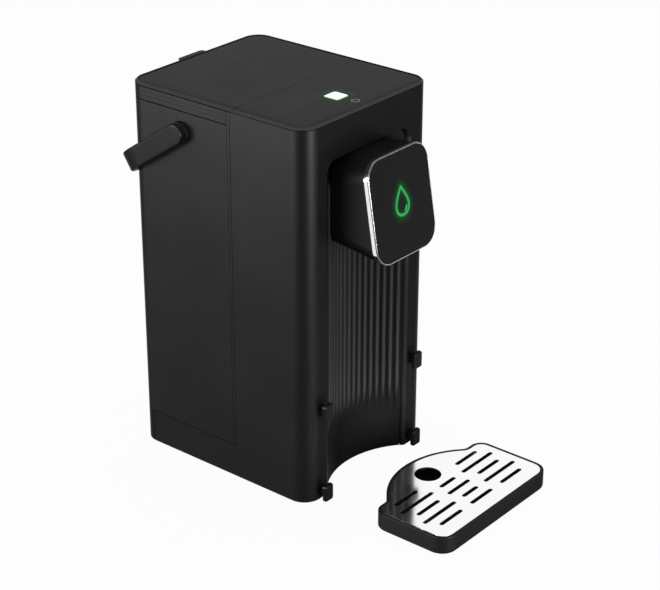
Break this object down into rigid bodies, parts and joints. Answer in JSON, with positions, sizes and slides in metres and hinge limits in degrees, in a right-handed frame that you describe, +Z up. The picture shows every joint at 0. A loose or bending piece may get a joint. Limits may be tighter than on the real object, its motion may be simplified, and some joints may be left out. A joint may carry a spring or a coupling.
{
  "type": "instant hot water dispenser",
  "caption": "Slim tower water dispenser with a tilted dispensing head over a ribbed concave channel, a lift-off rear tank with lid and bail handle, and a loose slotted drip tray",
  "frame": {"origin": "middle of the flat underside of the base cover, 1.5 mm above the worktop that the rubber feet stand on", "axes": "+Z up, -Y towards the user's side with the dispensing head and drip tray, +X to the right of someone who faces the front, so -X is the side shown at the left of the picture"},
  "size_m": [0.168, 0.3201, 0.314],
  "materials": {
    "housing_black": "satin black, fine texture",
    "tank_black": "satin black",
    "top_black": "satin black, smooth",
    "splash_black": "satin black, ribbed",
    "head_black": "satin black",
    "handle_black": "satin black",
    "tray_black": "satin black",
    "gloss_black": "gloss black",
    "head_glass": "gloss black touch window",
    "polished_chrome": "polished",
    "polished_steel": "bright, nearly polished",
    "plain_steel": "plain",
    "button_light": "translucent, lit from below",
    "rubber_black": "matt",
    "silicone_pale": "milky silicone",
    "inner_grey": "plain moulded",
    "board_green": "circuit board with dark parts"
  },
  "bodies": {
    "housing": {"front_housing": "housing_black", "tank_bay_panel": "inner_grey", "base_cover": "housing_black", "foot_front_left": "rubber_black", "foot_rear_left": "rubber_black", "foot_front_right": "rubber_black", "foot_rear_right": "rubber_black", "screw_front_left": "plain_steel", "screw_rear_left": "plain_steel", "screw_front_right": "plain_steel", "screw_rear_right": "plain_steel", "splash_panel": "splash_black", "tray_hook_low_left": "gloss_black", "tray_hook_high_left": "gloss_black", "tray_hook_low_right": "gloss_black", "tray_hook_high_right": "gloss_black", "top_cover": "top_black", "control_board": "board_green", "tact_switch": "inner_grey", "head_shell": "head_black", "head_bezel": "polished_chrome", "head_glass": "head_glass", "touch_board": "board_green", "spout_nozzle": "silicone_pale", "valve_socket": "inner_grey", "socket_seal": "silicone_pale", "pump": "inner_grey", "pump_pad": "rubber_black", "flow_heater": "plain_steel", "heater_clip_low": "inner_grey", "heater_clip_high": "inner_grey", "power_board": "board_green", "cable_gland": "rubber_black", "mains_lead": "rubber_black", "inlet_hose": "silicone_pale", "pump_hose": "silicone_pale", "spout_hose": "silicone_pale"},
    "button": {"top_button": "button_light"},
    "tank": {"tank_body": "tank_black", "tank_strainer": "inner_grey", "handle_pivot_left": "rubber_black", "handle_pivot_right": "rubber_black"},
    "tank_valve": {"valve_plunger": "inner_grey", "valve_seal": "silicone_pale", "valve_spring": "plain_steel"},
    "lid": {"lid_body": "tank_black", "lid_seal": "silicone_pale", "lid_plate": "top_black"},
    "handle": {"carry_handle": "handle_black"},
    "tray": {"tray_pan": "tray_black"},
    "grille": {"tray_grille": "polished_steel"}
  },
  "joints": [
    {"name": "button_press", "type": "slide", "parent": "housing", "child": "button", "axis": [0, 0, -1], "range_m": [0, 0.001], "stiffness_N_per_m": 600},
    {"name": "tank_lift", "type": "slide", "parent": "housing", "child": "tank", "axis": [0, 0, 1], "range_m": [0, 0.06]},
    {"name": "valve_travel", "type": "slide", "parent": "tank", "child": "tank_valve", "axis": [0, 0, 1], "range_m": [0, 0.002], "stiffness_N_per_m": 200, "springref_m": -0.003, "deforming": ["valve_spring"]},
    {"name": "lid_lift", "type": "slide", "parent": "tank", "child": "lid", "axis": [0, 0, 1], "range_m": [0, 0.026]},
    {"name": "handle_swing", "type": "hinge", "parent": "tank", "child": "handle", "pos_m": [0, 0.0337, 0.2825], "axis": [1, 0, 0], "range_deg": [0, 120]},
    {"name": "tray_slide", "type": "slide", "parent": "housing", "child": "tray", "axis": [-0.1275, 0.9918, 0], "range_m": [0, 0.047]},
    {"name": "grille_lift", "type": "slide", "parent": "tray", "child": "grille", "axis": [0, 0, 1], "range_m": [0, 0.04]}
  ]
}
